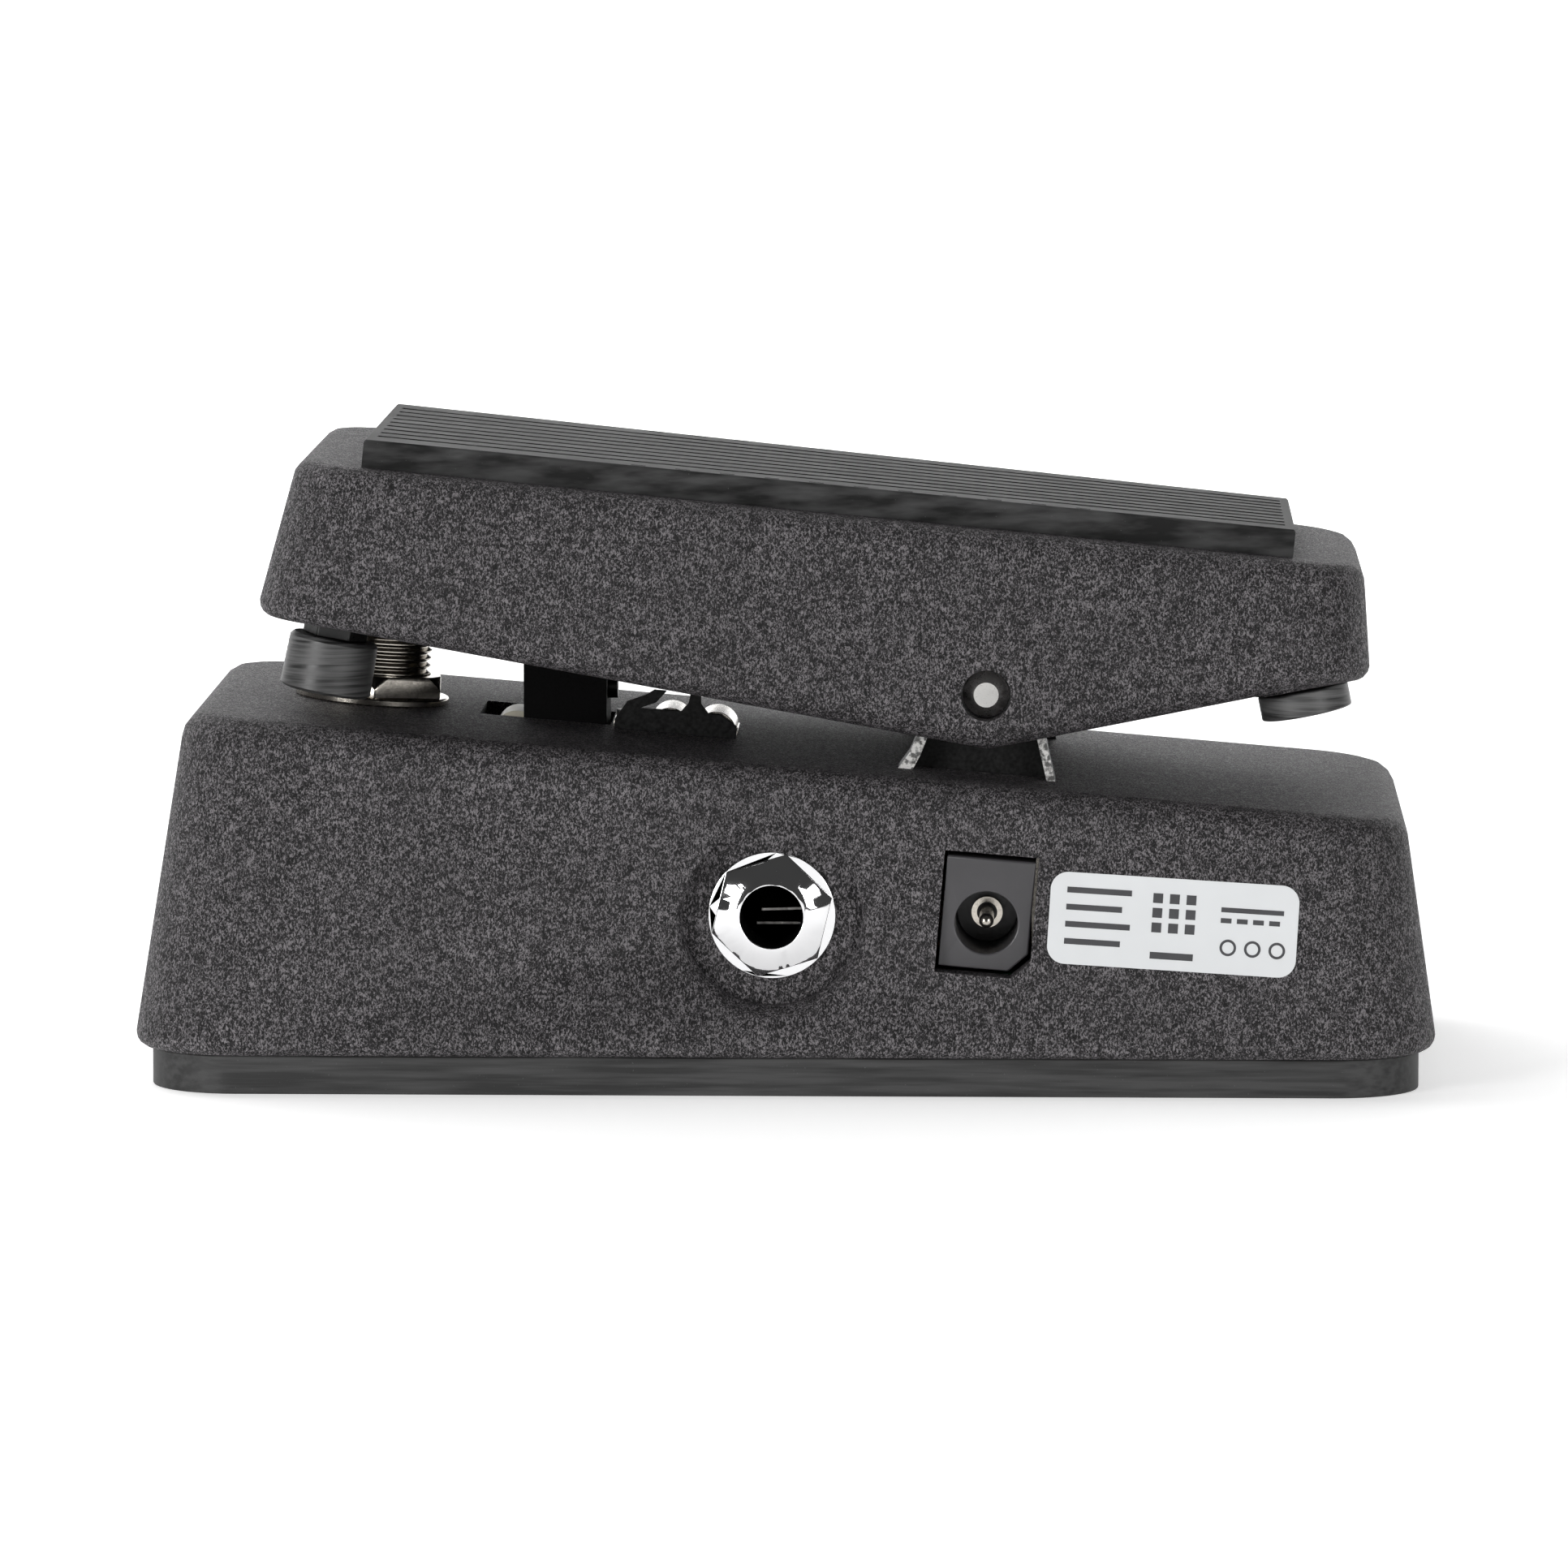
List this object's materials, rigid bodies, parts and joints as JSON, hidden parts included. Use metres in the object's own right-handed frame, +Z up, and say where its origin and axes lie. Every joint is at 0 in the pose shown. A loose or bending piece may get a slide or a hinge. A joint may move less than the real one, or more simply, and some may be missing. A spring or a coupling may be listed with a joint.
{
  "type": "rocker effects pedal",
  "caption": "Compact rocker (wah) effects pedal: die-cast base, ribbed treadle on a pivot pin, toothed rack driving a potentiometer, footswitch under the toe, jacks on the sides.",
  "frame": {"origin": "centre of the rubber foot pad's underside", "axes": "+X from toe to heel, +Y to the input jack's side, +Z up"},
  "size_m": [0.134, 0.072, 0.0666],
  "materials": {
    "crinkle_paint": "crinkle powder coat",
    "zinc_steel": "zinc plated",
    "foot_rubber": "matte",
    "black_steel": "black oxide",
    "black_screw": "black oxide",
    "bright_steel": "ground",
    "dark_nylon": "oiled",
    "tread_rubber": "satin, ribbed",
    "bumper_rubber": "satin, turned",
    "black_plastic": "matte",
    "nylon": "satin",
    "brass": "satin",
    "nickel": "nickel plated",
    "chrome": "polished",
    "socket_plastic": "satin",
    "label_film": "silver-grey film",
    "board": "solder mask",
    "inductor_can": "lacquer",
    "capacitor_sleeve": "sleeve",
    "film_capacitor": "dipped",
    "resistor_body": "lacquer",
    "battery_case": "plain wrap"
  },
  "bodies": {
    "base": {"base_housing": "crinkle_paint", "bottom_plate": "zinc_steel", "rubber_foot_pad": "foot_rubber", "plate_screws": "zinc_steel", "pivot_bracket": "black_steel", "bracket_screws": "black_screw", "pivot_pin": "bright_steel", "pot_body": "zinc_steel", "pot_bushing": "brass", "pot_nut": "nickel", "pot_bracket": "zinc_steel", "pot_bracket_rivets": "zinc_steel", "rack_guide_clip": "nickel", "guide_leaf": "black_steel", "guide_screw": "zinc_steel", "switch_body": "black_plastic", "switch_bushing": "nickel", "switch_nut": "nickel", "switch_washer": "nickel", "switch_lugs": "brass", "input_jack": "black_plastic", "output_jack": "black_plastic", "jack_nuts": "chrome", "jack_contacts": "nickel", "dc_jack": "socket_plastic", "dc_jack_ring": "nickel", "dc_jack_pin": "nickel", "label": "label_film", "circuit_board": "board", "board_standoffs": "nickel", "board_screws": "zinc_steel", "inductor": "inductor_can", "capacitors": "capacitor_sleeve", "film_capacitors": "film_capacitor", "transistors": "black_plastic", "resistors": "resistor_body", "battery": "battery_case", "battery_snap": "black_plastic"},
    "treadle": {"treadle": "crinkle_paint", "pivot_bushings": "dark_nylon", "tread_pad": "tread_rubber", "toe_bumpers": "bumper_rubber", "toe_bumper_nuts": "black_screw", "heel_bumpers": "bumper_rubber", "rack_arm": "black_plastic", "arm_screws": "zinc_steel", "rack_pin": "bright_steel", "rack_screw": "black_screw", "toothed_rack": "nylon"},
    "pinion": {"pinion": "nylon", "pot_shaft": "bright_steel"},
    "plunger": {"switch_plunger": "chrome"}
  },
  "joints": [
    {"name": "treadle_rock", "type": "hinge", "parent": "base", "child": "treadle", "pos_m": [0.0207, 0, 0.0406], "axis": [0, 1, 0], "range_deg": [-1.1, 15.2]},
    {"name": "pinion_spin", "type": "hinge", "parent": "base", "child": "pinion", "pos_m": [-0.02253, 0, 0.02487], "axis": [0, 1, 0], "range_deg": [-14.5, 191]},
    {"name": "switch_press", "type": "slide", "parent": "base", "child": "plunger", "axis": [-0.0844, 0, -0.9964], "range_m": [0, 0.002], "stiffness_N_per_m": 3000, "springref_m": -0.001}
  ],
  "couplings": [
    {"joint": "pinion_spin", "follows": "treadle_rock", "ratio": 12.5}
  ]
}
